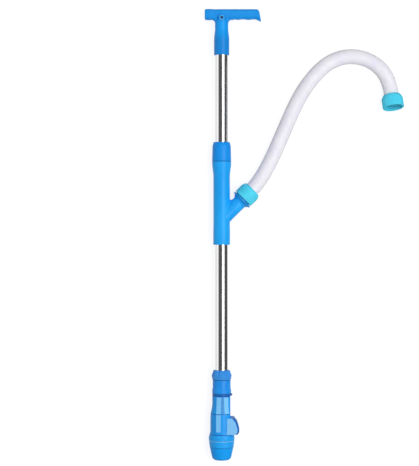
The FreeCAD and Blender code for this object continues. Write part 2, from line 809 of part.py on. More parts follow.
def foot_collar():
    """The lobed lock nut that squeezes the O-ring round the barrel."""
    inner, cap = foot_stub_radius + loose_gap, foot_ring_top + loose_gap
    bore, crown = tube_radius + loose_gap, collar_top - collar_crown_depth
    nut = turned((inner, collar_bottom), (collar_bottom_radius, collar_bottom),
                 (collar_radius, collar_bottom + collar_waist), (collar_top_radius, collar_top),
                 (collar_top_radius - collar_crown_rim, collar_top), (bore + collar_crown_step, crown),
                 (bore, crown), (bore, cap), (inner, cap))
    nut = rounded(nut, 2 * rim_round, (collar_radius, collar_bottom + collar_waist))
    nut = rounded(nut, rim_round, (collar_bottom_radius, collar_bottom), (collar_top_radius, collar_top))
    rise, fall = collar_height - collar_waist, collar_radius - collar_top_radius
    start = collar_radius - fall * (collar_scallop_start - collar_waist) / rise
    scallop = Part.makeCylinder(collar_scallop_radius, collar_height, ORIGIN, PUMP_AXIS)
    scallop.rotate(ORIGIN, UP, math.degrees(math.atan2(fall, rise)))
    reach = start + collar_scallop_radius - collar_scallop_depth
    scallop.translate(Vector(reach, collar_bottom + collar_scallop_start, 0))
    return nut.cut(spaced(scallop, collar_lobes, first=180.0 / collar_lobes))


def foot_o_ring():
    return o_ring(tube_radius, foot_stub_top + fit_gap, thin_ring_section)


def foot_socket():
    groove_low = spigot_bottom + spigot_groove_height
    groove_high = groove_low + spigot_groove
    groove = spigot_radius - spigot_groove + fit_gap
    low_rim = (socket_flange_radius, socket_ring_bottom)
    high_rim = (socket_flange_radius, socket_flange_top)
    body = turned((0, spigot_bottom), (spigot_radius, spigot_bottom), (spigot_radius, groove_low),
                  (groove, groove_low), (groove, groove_high), (spigot_radius, groove_high),
                  (spigot_radius, socket_ring_bottom), low_rim, high_rim,
                  (foot_socket_radius, socket_flange_top + socket_flange_ramp),
                  (foot_socket_radius, foot_socket_top), (foot_stub_radius, foot_socket_top),
                  (foot_stub_radius, foot_stub_top), (0, foot_stub_top))
    body = rounded(body, rim_round, low_rim, high_rim, (foot_socket_radius, foot_socket_top))
    hollow = [rod(tube_radius + fit_gap, barrel_bottom, foot_stub_top + 1),
              rod(foot_bore, spigot_bottom - 1, barrel_bottom + 1),
              rod(seat_radius + fit_gap, spigot_bottom - 1, seat_top)]
    return body.cut(hollow)


def spigot_o_ring():
    section = (spigot_groove - 2 * fit_gap) / 2
    low = spigot_bottom + spigot_groove_height + fit_gap
    return o_ring(spigot_radius - spigot_groove + fit_gap, low, section)


def bayonet_ring():
    ring = tube(bayonet_radius, spigot_radius + fit_gap, bayonet_bottom, socket_ring_bottom)
    ring = rounded(ring, rim_round, (bayonet_radius, socket_ring_bottom), (bayonet_radius, bayonet_bottom))
    boss = side_rod(latch_boss_radius, latch_floor, latch_boss_reach, latch_height)
    boss = boss.common(rod(2 * bayonet_radius, bayonet_bottom, socket_ring_bottom))
    return ring.fuse(boss).cut(side_rod(latch_radius + shaft_gap, latch_floor, latch_reach, latch_height))


def latch_button():
    button = side_rod(latch_radius, latch_floor + latch_travel + loose_gap, latch_reach, latch_height)
    rim = [edge for edge in button.Edges if edge.BoundBox.XMin > latch_reach - fit_gap]
    return button.makeFillet(latch_radius / 3, rim)


def foot_valve_seat():
    seat = tube(seat_radius, seat_hole, spigot_bottom, seat_top)
    hub = tube(seat_hub, poppet_stem_radius + shaft_gap, spigot_bottom, seat_top)
    inside = (seat_hub + poppet_stem_radius) / 2
    corner = Vector(inside, spigot_bottom, -seat_arm / 2)
    arm = Part.makeBox(seat_hole + 1 - inside, seat_thickness, seat_arm, corner)
    return seat.fuse([hub] + spaced(arm, 3).Solids)


def foot_valve_poppet():
    low = seat_top + loose_gap
    top = low + poppet_thickness
    disc = rounded(rod(poppet_radius, low, top), rim_round, (poppet_radius, top))
    return disc.fuse(rod(poppet_stem_radius, low - poppet_stem_length, top))


# ---------------------------------------------------------------- filter housing and side hood

def hood_outline(z, low, inset, drop):
    """The side hood's outline at one height: inset moves its outer faces in, drop moves its top down."""
    wide, top = hood_wide_x - inset, hood_top - drop
    corners = [(hood_inner_x, low), (wide - hood_lip_inset, low), (wide, hood_lip_height),
               (wide, hood_wide_height), (hood_shoulder_x - inset, hood_shoulder_height - drop),
               (hood_top_x - inset, top), (hood_inner_x, top)]
    points = [Vector(x, y, z) for x, y in corners]
    return Part.makePolygon(points + [points[0]])


def hood_shell():
    """The hood as a closed block, with bevelled outer edges."""
    flat = hood_front - hood_bevel
    outlines = [hood_outline(-hood_front, hood_bottom, hood_bevel, hood_top_bevel),
                hood_outline(-flat, hood_bottom, 0, 0), hood_outline(flat, hood_bottom, 0, 0),
                hood_outline(hood_front, hood_bottom, hood_bevel, hood_top_bevel)]
    return Part.makeLoft(outlines, True, True)


def hood_hollow():
    outline = hood_outline(-hood_mouth_half, hood_bottom - hood_wall, hood_wall, hood_wall)
    hollow = Part.Face(outline).extrude(UP * 2 * hood_mouth_half)
    size = 2 * hood_wide_x
    corner = Vector(hood_mouth_x, hood_bottom - size / 2, -size / 2)
    return hollow.common(Part.makeBox(size, size, size, corner))


def flap_pin_place():
    return Vector(hood_wide_x - hood_wall - flap_pin_inset, flap_pin_height, 0)


def flat_pad(turn, *outline):
    """A raised pad, flat across its width, turned about the pump axis from the top to +X. The outline is
    its side view, as corners of (reach from the axis, height)."""
    points = [Vector(-pad_width / 2, height, reach) for reach, height in outline]
    pad = Part.Face(Part.makePolygon(points + [points[0]])).extrude(SIDE * pad_width)
    pad.rotate(ORIGIN, PUMP_AXIS, turn)
    return pad


def housing_pads():
    """Pairs of pads, front and back: the upper ones follow the step's cone down to the pad seam."""
    slope = (housing_lower_radius - housing_upper_radius) / (housing_step_top - housing_step_bottom)
    high, face = bayonet_bottom - pad_end, housing_upper_radius + pad_rise
    low, low_face = pad_seam + pad_end / 2, face + slope * (housing_step_top - pad_seam - pad_end / 2)
    base = face - pad_depth
    pads = []
    for turn in upper_pad_turns:
        pads.append(flat_pad(turn, (base, low), (low_face, low), (face, housing_step_top), (face, high),
                             (base, high)))
    face = housing_lower_radius + pad_rise
    high, base = pad_seam - pad_end / 2, face - pad_depth
    pads.append(flat_pad(lower_pad_turn, (base, lower_pad_bottom), (face, lower_pad_bottom), (face, high),
                         (base, high)))
    return [copy for pad in pads for copy in spaced(pad, 2).Solids]


def filter_housing():
    low, high = neck_bottom, bayonet_bottom
    shell = turned((0, low), (neck_thread_radius, low), (neck_thread_radius, housing_flare_bottom),
                   (housing_flare_radius, housing_flare_bottom), (housing_lower_radius, housing_flare_top),
                   (housing_lower_radius, housing_step_bottom), (housing_upper_radius, housing_step_top),
                   (housing_upper_radius, high), (0, high))
    flare_rim = (housing_flare_radius, housing_flare_bottom)
    shell = rounded(shell, rim_round, flare_rim, (housing_upper_radius, high))
    shell = rounded(shell, cone_round, (housing_lower_radius, housing_step_bottom),
                    (housing_upper_radius, housing_step_top))
    size = 4 * housing_lower_radius
    corner = Vector(spigot_radius + fit_gap + housing_flat_wall, housing_flat_bottom, -size / 2)
    shell = shell.cut(Part.makeBox(size, size, size, corner))
    shell = shell.fuse(housing_pads())
    shell = shell.fuse(hood_shell().cut(rod(housing_bore_lower + 1, 0, high)))
    cone = turned((0, housing_cone_bottom), (housing_bore_lower, housing_cone_bottom),
                  (spigot_radius + fit_gap, housing_cone_top), (0, housing_cone_top))
    hollow = [rod(housing_bore_lower, low - 1, housing_cone_bottom), cone, hood_hollow(),
              rod(spigot_radius + fit_gap, housing_cone_top, high + 1)]
    pin, reach = flap_pin_place(), flap_pin_reach + fit_gap
    hollow.append(cross_rod(flap_pin_radius + fit_gap, -reach, reach, pin.x, pin.y))
    for side in (-1, 1):
        z = side * flush_port_spacing / 2
        hollow.append(side_rod(flush_port_radius, media_radius, hood_mouth_x + 1, flush_port_height, z))
    return shell.cut(hollow)


def flap_pin():
    pin = flap_pin_place()
    return cross_rod(flap_pin_radius, -flap_pin_reach, flap_pin_reach, pin.x, pin.y)


def flush_flap():
    """The flap over the hood's mouth, with its knuckle round the pin."""
    pin = flap_pin_place()
    half = hood_mouth_half - loose_gap
    inner = hood_mouth_x + loose_gap
    corner = Vector(inner, pin.y - flap_thickness / 2, -half)
    plate = Part.makeBox(pin.x - inner, flap_thickness, 2 * half, corner)
    knuckle = cross_rod(flap_pin_radius + flap_knuckle_wall, -half, half, pin.x, pin.y)
    return plate.fuse(knuckle).cut(cross_rod(flap_pin_radius + shaft_gap, -half - 1, half + 1, pin.x, pin.y))


# ---------------------------------------------------------------- cartridge, ring and nose

def cartridge_top_cap():
    top = media_top + cap_height
    return turned((media_bore, media_top), (cap_top_radius, media_top), (cap_top_radius, top),
                  (cap_spigot_radius, top), (cap_spigot_radius, spigot_bottom), (media_bore, spigot_bottom))


def cartridge_o_ring():
    return o_ring(cap_spigot_radius, media_top + cap_height + fit_gap, cartridge_ring_section)


def filter_cartridge():
    """The pleated filter medium as a ring of shallow folds."""
    ring = tube(media_radius, media_bore, media_bottom, media_top)
    return ring.cut(spaced(lengthwise(fold_radius, media_bottom, media_top, media_radius), fold_count))


def cartridge_bottom_cap():
    disc = rod(cap_skirt_radius, media_bottom - cap_bottom_height, media_bottom)
    skirt = tube(cap_skirt_radius, cap_skirt_radius - cap_skirt_wall, cap_skirt_bottom, media_bottom - 1)
    place = (media_radius + cap_skirt_radius - cap_skirt_wall) / 2
    port = lengthwise(cap_port_radius, media_bottom - cap_bottom_height - 1, media_bottom + 1, place)
    return disc.fuse(skirt).cut(spaced(port, cap_ports))


def foot_ring():
    inner, top = neck_thread_radius + fit_gap, housing_flare_bottom
    ring = turned((inner, ring_bottom), (ring_bottom_radius, ring_bottom),
                  (ring_wide_radius, ring_wide_height), (ring_top_radius, top), (inner, top))
    ring = rounded(ring, ring_round, (ring_wide_radius, ring_wide_height))
    return rounded(ring, rim_round, (ring_bottom_radius, ring_bottom), (ring_top_radius, top))


def nose_collar():
    inner, upper = nose_seat_radius + fit_gap, nose_spigot_radius + fit_gap
    low_rim = (nose_collar_bottom_radius, nose_collar_bottom)
    high_rim = (nose_collar_top_radius, nose_collar_top)
    collar = turned((inner, nose_collar_bottom), low_rim, high_rim, (upper, nose_collar_top),
                    (upper, nose_seat_top), (inner, nose_seat_top))
    return rounded(collar, rim_round, low_rim, high_rim)


def intake_nose():
    low, shoulder = nose_floor, nose_collar_bottom
    nose = turned((0, 0), (nose_end_radius, 0), (nose_radius, shoulder), (nose_seat_radius, shoulder),
                  (nose_seat_radius, nose_seat_top), (nose_spigot_radius, nose_seat_top),
                  (nose_spigot_radius, nose_spigot_top), (0, nose_spigot_top))
    nose = rounded(nose, nose_corner, (nose_end_radius, 0))
    slope = math.degrees(math.atan2(nose_radius - nose_end_radius, shoulder))
    flute = rod(nose_flute_radius, 0, shoulder)
    flute.rotate(ORIGIN, UP, -slope)
    flute.translate(Vector(nose_end_radius + nose_flute_radius - nose_flute_depth, 0, 0))
    flute = flute.common(rod(2 * nose_radius, nose_flute_start, shoulder - nose_flute_depth))
    hollow = [rod(intake_radius, -1, low + 1), rod(nose_bore - screen_ledge, low, screen_height + 1),
              rod(nose_bore, screen_height, nose_spigot_top + 1), spaced(flute, nose_flutes)]
    return nose.cut(hollow)


def intake_screen():
    """A perforated disc on the ledge inside the nose."""
    radius = nose_bore - fit_gap
    disc = rod(radius, screen_height, screen_height + screen_thickness)
    holes = []
    for ring in range(1, screen_rings + 1):
        hole = lengthwise(screen_hole_radius, screen_height - 1, screen_height + 2, screen_pitch * ring)
        holes.append(spaced(hole, 6 * ring))
    return disc.cut(holes)


def nose_gasket():
    low = gasket_top - gasket_thickness
    return tube(neck_thread_radius - loose_gap, nose_spigot_radius + fit_gap, low, gasket_top)


start_place, end_place = hose_end_frames()
parts = {
    "t_handle": t_handle(), "handle_screw": handle_screw(), "handle_nut": handle_nut(),
    "plunger_rod": plunger_rod(), "piston_head": piston_head(), "piston_cup_seal": piston_cup_seal(),
    "piston_washer": piston_washer(), "piston_nut": piston_nut(), "piston_valve_disc": piston_valve_disc(),
    "valve_stop_collar": valve_stop_collar(), "upper_tube": upper_tube(), "barrel": barrel(),
    "rod_bushing": rod_bushing(), "rod_seal_carrier": rod_seal_carrier(), "rod_seal": rod_seal(),
    "gland_nut": gland_nut(), "compression_ring": compression_ring(), "gland_o_ring": gland_o_ring(),
    "barrel_o_ring": barrel_o_ring(), "y_body": y_body(),
    "branch_nut": at_hose_end(union_nut(), *start_place),
    "branch_tail": at_hose_end(hose_tail(), *start_place),
    "branch_washer": at_hose_end(union_washer(), *start_place), "hose": hose(),
    "end_nut": at_hose_end(union_nut(), *end_place), "end_tail": at_hose_end(hose_tail(), *end_place),
    "end_washer": at_hose_end(union_washer(), *end_place), "foot_collar": foot_collar(),
    "foot_o_ring": foot_o_ring(), "foot_socket": foot_socket(), "spigot_o_ring": spigot_o_ring(),
    "bayonet_ring": bayonet_ring(), "latch_button": latch_button(), "foot_valve_seat": foot_valve_seat(),
    "foot_valve_poppet": foot_valve_poppet(), "filter_housing": filter_housing(), "flap_pin": flap_pin(),
    "flush_flap": flush_flap(), "cartridge_top_cap": cartridge_top_cap(),
    "cartridge_o_ring": cartridge_o_ring(), "filter_cartridge": filter_cartridge(),
    "cartridge_bottom_cap": cartridge_bottom_cap(), "foot_ring": foot_ring(), "nose_collar": nose_collar(),
    "intake_nose": intake_nose(), "intake_screen": intake_screen(), "nose_gasket": nose_gasket(),
}

os.makedirs("parts", exist_ok=True)
for name, shape in parts.items():
    shape.exportStep("parts/" + name + ".step")
    print(name, len(shape.Solids), "solid", "valid" if shape.isValid() else "INVALID", round(shape.Volume))
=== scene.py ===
# %% [markdown]
# # A hand lift pump with a filter in its foot
# The pump is two steel tubes joined by a blue Y body, with a T-handle at the top, a sectioned plastic foot
# that holds the filter, and a milky hose between two cyan union nuts. The construction model brings every
# part at its true size, in metres. This notebook adds the looks: light, materials, the hose, and the small
# moulded details that a mechanical model leaves out.

# %% Load the construction model
import math
import bmesh
import bpy
from mathutils import Matrix, Vector


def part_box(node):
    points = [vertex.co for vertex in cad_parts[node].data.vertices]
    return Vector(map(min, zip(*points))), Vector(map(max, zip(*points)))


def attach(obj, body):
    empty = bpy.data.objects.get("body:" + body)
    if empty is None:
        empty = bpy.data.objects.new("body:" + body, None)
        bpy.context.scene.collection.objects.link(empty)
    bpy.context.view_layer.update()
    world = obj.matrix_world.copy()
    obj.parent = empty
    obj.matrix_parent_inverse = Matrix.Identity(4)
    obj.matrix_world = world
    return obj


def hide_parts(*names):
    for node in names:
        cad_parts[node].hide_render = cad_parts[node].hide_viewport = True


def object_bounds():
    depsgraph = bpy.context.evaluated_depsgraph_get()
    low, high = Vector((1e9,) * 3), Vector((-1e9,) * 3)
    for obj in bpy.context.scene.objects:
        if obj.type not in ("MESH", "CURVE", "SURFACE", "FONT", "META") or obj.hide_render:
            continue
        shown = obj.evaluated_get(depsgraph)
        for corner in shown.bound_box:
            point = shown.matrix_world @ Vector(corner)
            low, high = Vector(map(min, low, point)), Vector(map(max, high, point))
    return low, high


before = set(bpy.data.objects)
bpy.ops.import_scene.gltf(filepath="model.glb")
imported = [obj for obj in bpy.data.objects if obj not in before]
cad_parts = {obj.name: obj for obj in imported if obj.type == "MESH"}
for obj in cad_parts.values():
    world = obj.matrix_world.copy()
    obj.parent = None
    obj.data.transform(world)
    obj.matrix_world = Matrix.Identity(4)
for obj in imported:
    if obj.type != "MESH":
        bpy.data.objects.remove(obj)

cad_low, cad_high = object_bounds()
scene = bpy.context.scene
millimetre = 0.001
print("model box, mm:", [round(1000 * side) for side in cad_high - cad_low])

# %% [markdown]
# ## The camera
# The pump lies flat, and a camera on a stand looks straight down on it, a little to one side of the pump's
# axis. From 3.2 m, through a long lens, the seams of the round parts look nearly straight. A short lens from
# near by would also take the pump in, but it would bend those seams and show the ends from inside.

# %% Place the camera over the pump
camera_height = 3.2
camera_data = bpy.data.cameras.new("overhead_camera")
camera_data.lens = 114.77
camera_data.sensor_width = 36.0
camera = bpy.data.objects.new("overhead_camera", camera_data)
camera.location = (-0.0262, 0.4886, camera_height)
scene.collection.objects.link(camera)
scene.camera = camera
print("camera", camera_height, "m above the pump's axis")

# %% [markdown]
# ## The hose
# The hose is a length of soft, milky pipe. It leaves the branch nut in line with the branch, sinks to the
# floor, and bends over in one loose arch to the free nut. A bent pipe could be swept from straight runs and
# arcs, but a soft pipe never bends in true arcs. One NURBS spline through a few given points gives the
# bend that changes gently all the way, so that is used here.

# %% Lay the hose's line
hose_radius = 0.016
hose_wall = 0.0035
hose_points = [(0.05976, 0.57626, 0.0), (0.07816, 0.59466, 0.0), (0.1073, 0.6460, -0.0035),
               (0.1331, 0.7057, -0.0085), (0.1709, 0.7911, -0.0115), (0.2166, 0.8478, -0.0115),
               (0.2584, 0.8697, -0.0115), (0.3001, 0.8697, -0.0115), (0.3339, 0.8538, -0.0115),
               (0.3544, 0.8319, -0.0115), (0.3652, 0.8020, -0.0115), (0.3680, 0.7769, -0.0047)]
hose_line = bpy.data.curves.new("hose_line", "CURVE")
hose_line.dimensions = "3D"
spline = hose_line.splines.new("NURBS")
spline.points.add(len(hose_points) - 1)
for knot, place in zip(spline.points, hose_points):
    knot.co = (*place, 1.0)
spline.order_u = 3
spline.use_endpoint_u = True
hose_line.resolution_u = 12
line_object = bpy.data.objects.new("hose_line", hose_line)


def mesh_of(curve_object):
    """The mesh that Blender makes of a curve as it now stands."""
    depsgraph = bpy.context.evaluated_depsgraph_get()
    return bpy.data.meshes.new_from_object(curve_object.evaluated_get(depsgraph))


scene.collection.objects.link(line_object)
line_mesh = mesh_of(line_object)
hose_path = [vertex.co.copy() for vertex in line_mesh.vertices]
hose_length = sum((b - a).length for a, b in zip(hose_path, hose_path[1:]))
print("hose length", round(hose_length, 4), "m along", len(hose_path), "points")

# %% [markdown]
# The spline with a round bevel gives the outside of the pipe. Solidify then sets the wall inside it, so the
# pipe is hollow and its cut ends show their thickness, which a plain bevelled curve would not have.

# %% Give the hose its wall
hose_line.bevel_depth = hose_radius
hose_line.bevel_resolution = 10
hose_mesh = mesh_of(line_object)
hose_mesh.name = "hose_pipe"
hose_pipe = bpy.data.objects.new("hose_pipe", hose_mesh)
scene.collection.objects.link(hose_pipe)
shell = bmesh.new()
shell.from_mesh(hose_mesh)
bmesh.ops.remove_doubles(shell, verts=shell.verts, dist=1e-6)
bmesh.ops.recalc_face_normals(shell, faces=shell.faces)
bmesh.ops.solidify(shell, geom=shell.faces, thickness=hose_wall)
for face in shell.faces:
    face.smooth = True
shell.to_mesh(hose_mesh)
shell.free()
bpy.data.objects.remove(line_object)
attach(hose_pipe, "root")
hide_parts("hose")
print("hose faces", len(hose_mesh.polygons))

# %% [markdown]
# ## Light and floor
# The pump lies on white paper in a white room. The paper could be lit until it burns out, but that would
# bleach the plastic too. So the paper glows a little by itself, only for the eye and for mirrors, and it
# still darkens where the pump shades it. What the paper throws back onto the pump is as white as paper is.
# Far to the right the mirrors find the paper's dark end: without something dark to reflect, polished steel
# in a white room looks like white plastic.

# %% Helpers for node trees
def node(tree, kind, links=None, **settings):
    """Adds a shader node, sets its options, and fills its inputs with values or links."""
    made = tree.nodes.new("ShaderNode" + kind)
    for option, value in settings.items():
        setattr(made, option, value)
    for place, value in (links or {}).items():
        if isinstance(value, bpy.types.NodeSocket):
            tree.links.new(value, made.inputs[place])
        else:
            made.inputs[place].default_value = value
    return made


def linear(red, green, blue):
    """A colour given as screen values from 0 to 255, in the linear light that shaders work in."""
    parts = []
    for part in (red / 255, green / 255, blue / 255):
        parts.append(part / 12.92 if part <= 0.04045 else ((part + 0.055) / 1.055) ** 2.4)
    return (*parts, 1.0)


# %% [markdown]
# The paper is one flat sheet, as low as the pump's lowest point. Its glow grows with distance, because the
# lamps' light falls off there, and the far paper should be as white as the room behind it.

# %% Spread the paper
floor_height = cad_low.z
paper_reach, paper_gap = 8.0, 0.0002
paper_mesh = bpy.data.meshes.new("paper")
paper = bpy.data.objects.new("paper", paper_mesh)
scene.collection.objects.link(paper)
sheet = bmesh.new()
bmesh.ops.create_grid(sheet, x_segments=1, y_segments=1, size=paper_reach)
bmesh.ops.translate(sheet, verts=sheet.verts, vec=(0.0, 0.5, floor_height - paper_gap))
sheet.to_mesh(paper_mesh)
sheet.free()
paper_material = bpy.data.materials.new("white_paper")
paper_material.use_nodes = True
tree = paper_material.node_tree
tree.nodes.clear()
rays = node(tree, "LightPath")
seen = node(tree, "Math", {0: rays.outputs["Is Camera Ray"], 1: rays.outputs["Is Transmission Ray"]},
            operation="MAXIMUM")
place = node(tree, "TexCoord").outputs["Object"]
distance = node(tree, "VectorMath", {0: place}, operation="LENGTH").outputs["Value"]
near_glow, far_glow = 0.85, 1.0
glow_level = node(tree, "MapRange", {"Value": distance, "From Min": 1.2, "From Max": 3.0,
                                     "To Min": near_glow, "To Max": far_glow})
glow_strength = node(tree, "Math", {0: seen.outputs[0], 1: glow_level.outputs[0]}, operation="MULTIPLY")
glow = node(tree, "Emission", {"Color": (1, 1, 1, 1), "Strength": glow_strength.outputs[0]})
fibres = node(tree, "TexNoise", {"Scale": 700.0, "Detail": 2.0})
tint = node(tree, "ValToRGB", {"Fac": fibres.outputs["Fac"]})
tint.color_ramp.elements[0].color = (0.23, 0.23, 0.23, 1)
tint.color_ramp.elements[1].color = (0.26, 0.26, 0.26, 1)
white_paper = (0.75, 0.75, 0.75, 1)
paper_tone = node(tree, "Mix", {0: seen.outputs[0], 6: white_paper, 7: tint.outputs["Color"]},
                  data_type="RGBA")
matt = node(tree, "BsdfDiffuse", {"Color": paper_tone.outputs[2]})
lit_paper = node(tree, "AddShader", {0: glow.outputs[0], 1: matt.outputs[0]})
across = node(tree, "SeparateXYZ", {0: place}).outputs["X"]
dark_end = node(tree, "MapRange", {"Value": across, "From Min": 0.07, "From Max": 0.09, "To Min": 0.95,
                                   "To Max": 0.06})
mirrored_paper = node(tree, "Emission", {"Color": (1, 1, 1, 1), "Strength": dark_end.outputs[0]})
paper_seen = node(tree, "MixShader", {0: rays.outputs["Is Glossy Ray"], 1: lit_paper.outputs[0],
                                      2: mirrored_paper.outputs[0]})
node(tree, "OutputMaterial", {"Surface": paper_seen.outputs[0]})
paper_mesh.materials.append(paper_material)

# %% [markdown]
# The room is the world's colour. The eye sees it white. Diffuse rays meet a soft grey-white sky, and mirror
# rays meet strips that run along the pump, bright windows and dark screens. The angle round the pump's axis
# picks the strip, so a tube shows clean bands along its whole length. Rays that leave towards either end of
# the room meet other, narrower screens, so the tubes read as steel from the ends too.

# %% Build the room
world = bpy.data.worlds.new("studio")
scene.world = world
world.use_nodes = True
tree = world.node_tree
tree.nodes.clear()
rays = node(tree, "LightPath")
toward = node(tree, "SeparateXYZ", {0: node(tree, "TexCoord").outputs["Generated"]})
turn = node(tree, "Math", {0: toward.outputs["X"], 1: toward.outputs["Z"]}, operation="ARCTAN2")
share = node(tree, "MapRange", {"Value": turn.outputs[0], "From Min": -math.pi, "From Max": math.pi})
window, screen = 1.0, 0.09


def strips(tree, share, bands):
    """Windows and screens by the angle round the pump; bands are angles in degrees and their levels."""
    made = node(tree, "ValToRGB", {"Fac": share})
    for degrees, level in bands:
        stop = made.color_ramp.elements.new(0.5 + degrees / 360)
        stop.color = (level, level, level, 1)
    made.color_ramp.elements[0].color = (window, window, window, 1)
    made.color_ramp.elements[-1].color = (bands[-1][1], bands[-1][1], bands[-1][1], 1)
    return made.outputs["Color"]


beside = strips(tree, share.outputs[0], [(-66, window), (-52, screen)])
at_ends = strips(tree, share.outputs[0], [(-76, window), (-70, screen), (-54, screen), (-48, window),
                                          (28, window), (34, screen), (64, screen), (70, window)])
lengthwise = node(tree, "Math", {0: toward.outputs["Y"]}, operation="ABSOLUTE")
to_end = node(tree, "MapRange", {"Value": lengthwise.outputs[0], "From Min": 0.40, "From Max": 0.52})
end_window = node(tree, "Mix", {0: to_end.outputs[0], 6: beside, 7: at_ends}, data_type="RGBA")
mirrored = node(tree, "Background", {"Color": end_window.outputs[2], "Strength": 1.15})
sky = node(tree, "Background", {"Color": (0.98, 0.99, 1.0, 1), "Strength": 0.30})
white = node(tree, "Background", {"Color": (1, 1, 1, 1), "Strength": 1.0})
seen = node(tree, "Math", {0: rays.outputs["Is Camera Ray"], 1: rays.outputs["Is Transmission Ray"]},
            operation="MAXIMUM")
lit = node(tree, "MixShader", {0: rays.outputs["Is Glossy Ray"], 1: sky.outputs[0], 2: mirrored.outputs[0]})
room = node(tree, "MixShader", {0: seen.outputs[0], 1: lit.outputs[0], 2: white.outputs[0]})
node(tree, "OutputWorld", {"Surface": room.outputs[0]})
print("room hung with", len(world.node_tree.nodes), "nodes")


# %% [markdown]
# Two soft lamps give the plastic its shape: a long one that hangs over the pump's right side and runs along
# it, and a weak one at the upper left. Mirror rays meet the long one, so that each tube shows it as one
# bright stripe, and each moulding as a soft sheen in the same place.

# %% Hang the lamps
def soft_lamp(name, place, width, length, power):
    """A rectangular lamp that faces the middle of the pump and runs along it."""
    data = bpy.data.lights.new(name, "AREA")
    data.shape = "RECTANGLE"
    data.size = width
    data.size_y = length
    data.energy = power
    lamp = bpy.data.objects.new(name, data)
    middle = Vector((0.0, 0.5, 0.0))
    back = (Vector(place) - middle).normalized()
    along = (Vector((0, 1, 0)) - back * back.y).normalized()
    turn = Matrix((along.cross(back), along, back)).transposed()
    lamp.matrix_world = Matrix.Translation(place) @ turn.to_4x4()
    scene.collection.objects.link(lamp)
    return lamp


soft_lamp("long_lamp", (1.15, 0.45, 2.3), 1.45, 2.4, 50.0)
weak_lamp = soft_lamp("weak_lamp", (-1.3, 1.1, 1.8), 1.6, 1.6, 9.0)
weak_lamp.visible_glossy = False
print("lamps hung")

# %% [markdown]
# ## Moulded plastic
# The handle, the Y body and the foot are gloss mouldings. Such plastic isn't one flat colour: pigment
# streaks follow the flow of the melt, the skin has a faint orange peel, and handling leaves fine scratches
# that blur its gloss. Noise on the object's own coordinates gives all three and never slides off the part.


# %% Helpers for materials
def start_material(name):
    """An empty material, with its tree, its shader and the object coordinates."""
    material = bpy.data.materials.new(name)
    material.use_nodes = True
    tree = material.node_tree
    return material, tree, tree.nodes["Principled BSDF"], node(tree, "TexCoord").outputs["Object"]


def stretched_noise(tree, coordinates, scale, stretch=(1, 1, 1), detail=2.0):
    """Noise drawn out along the axes where stretch is small."""
    mapping = node(tree, "Mapping", {"Vector": coordinates, "Scale": stretch})
    noise = node(tree, "TexNoise", {"Vector": mapping.outputs[0], "Scale": scale, "Detail": detail})
    return noise.outputs["Fac"]


def between(tree, factor, low, high, start=0.3, end=0.7):
    """Turns a factor into a value from low to high."""
    made = node(tree, "MapRange", {"Value": factor, "From Min": start, "From Max": end, "To Min": low,
                                   "To Max": high})
    return made.outputs[0]


def two_tones(tree, factor, dark, light, start=0.3, end=0.7):
    """Turns a factor into a colour between two tones."""
    ramp = node(tree, "ValToRGB", {"Fac": factor})
    ramp.color_ramp.elements[0].position = start
    ramp.color_ramp.elements[0].color = dark
    ramp.color_ramp.elements[1].position = end
    ramp.color_ramp.elements[1].color = light
    return ramp.outputs["Color"]


def roughen(tree, shader, height, strength, depth):
    """Bumps the surface by a height."""
    bump = node(tree, "Bump", {"Height": height, "Strength": strength, "Distance": depth})
    tree.links.new(bump.outputs[0], shader.inputs["Normal"])


def axis_parts(tree, place):
    """The three coordinates, one by one."""
    return node(tree, "SeparateXYZ", {0: place}).outputs


def larger(tree, first, second):
    """The larger of two values, so that either mark shows."""
    return node(tree, "Math", {0: first, 1: second}, operation="MAXIMUM").outputs[0]


def product(tree, first, second):
    """Two values multiplied, so that a mark shows only where both hold."""
    return node(tree, "Math", {0: first, 1: second}, operation="MULTIPLY").outputs[0]


def within(tree, value, middle, reach):
    """1 where a value lies within reach of the middle, 0 elsewhere."""
    return node(tree, "Math", {0: value, 1: middle, 2: reach}, operation="COMPARE").outputs[0]


def beyond(tree, value, limit):
    """1 where a value is larger than the limit, 0 elsewhere."""
    return node(tree, "Math", {0: value, 1: limit}, operation="GREATER_THAN").outputs[0]


def across_turned(tree, place, degrees):
    """The distance to one side of the pump's axis, as seen after a turn about that axis."""
    turned = node(tree, "Mapping", {"Vector": place, "Rotation": (0.0, -math.radians(degrees), 0.0)})
    return axis_parts(tree, turned.outputs[0])["X"]


def let_light_in(shader, weight, radius):
    """Light enters the plastic and spreads by the radius, one length for each colour."""
    shader.inputs["Subsurface Weight"].default_value = weight
    shader.inputs["Subsurface Radius"].default_value = radius
    shader.inputs["Subsurface Scale"].default_value = 1.0


def over(tree, factor, under, tone):
    """Lays a tone over a colour where the factor is 1."""
    return node(tree, "Mix", {0: factor, 6: under, 7: tone}, data_type="RGBA").outputs[2]


def moulded_plastic(name, dark, light, gloss=(0.32, 0.46), marks=None):
    """Pigmented plastic with flow streaks along the part, orange peel and fine scratches. The function
    marks gets the tree, the coordinates and the colour, and gives back the colour with this part's marks."""
    material, tree, shader, place = start_material(name)
    flow = stretched_noise(tree, place, 42.0, (1, 0.3, 1), 2.0)
    colour = two_tones(tree, flow, dark, light)
    if marks:
        colour = marks(tree, place, colour)
    tree.links.new(colour, shader.inputs["Base Color"])
    scratches = stretched_noise(tree, place, 900.0, (1, 0.04, 1), 2.0)
    tree.links.new(between(tree, scratches, *gloss), shader.inputs["Roughness"])
    peel = stretched_noise(tree, place, 420.0)
    roughen(tree, shader, peel, 0.10, 0.2 * millimetre)
    shader.inputs["IOR"].default_value = 1.32
    return material
